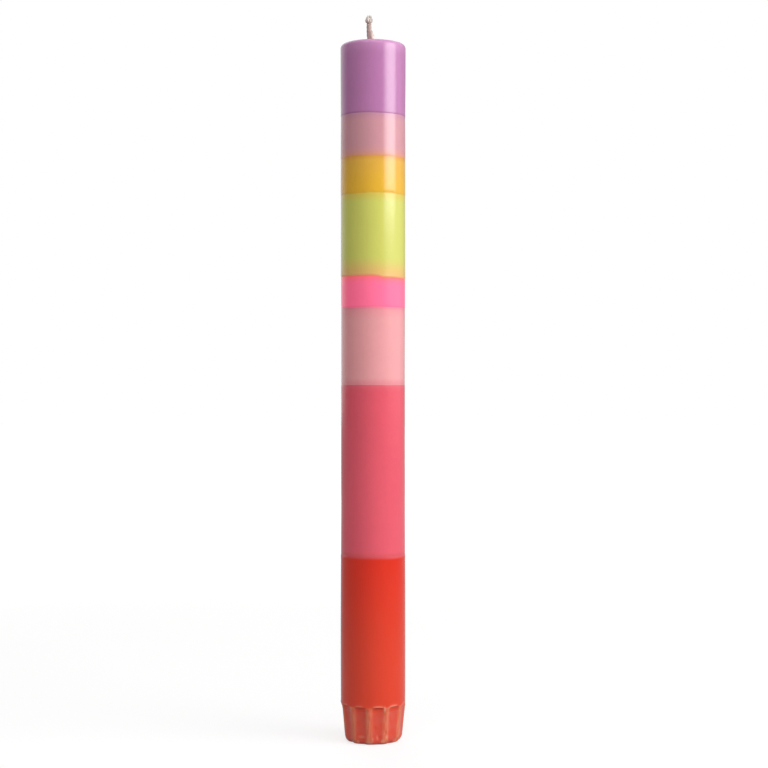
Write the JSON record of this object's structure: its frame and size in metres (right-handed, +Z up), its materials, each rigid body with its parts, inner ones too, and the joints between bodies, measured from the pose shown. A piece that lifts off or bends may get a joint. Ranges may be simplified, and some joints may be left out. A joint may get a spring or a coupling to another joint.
{
  "type": "dinner candle",
  "caption": "Straight dip-dyed dinner candle with bands of colour, a waxed cotton wick and a fluted, tapered foot that wedges into a candle holder.",
  "frame": {"origin": "middle of the flat face that the candle stands on", "axes": "+Z up the candle's axis towards the wick, -Y towards the viewer of the picture, wick bent towards -X"},
  "size_m": [0.0224, 0.0225, 0.2508],
  "materials": {
    "wick": "cotton",
    "blank": "satin wax",
    "coat_neon_pink": "satin wax",
    "coat_lime": "satin wax",
    "coat_yellow": "satin wax",
    "coat_mauve": "satin wax",
    "coat_orchid": "satin wax",
    "coat_rose": "satin wax",
    "coat_red": "satin wax"
  },
  "bodies": {
    "root": {"wick": "wick", "blank": "blank", "coat_neon_pink": "coat_neon_pink", "coat_lime": "coat_lime", "coat_yellow": "coat_yellow", "coat_mauve": "coat_mauve", "coat_orchid": "coat_orchid", "coat_rose": "coat_rose", "coat_red": "coat_red"}
  },
  "joints": []
}
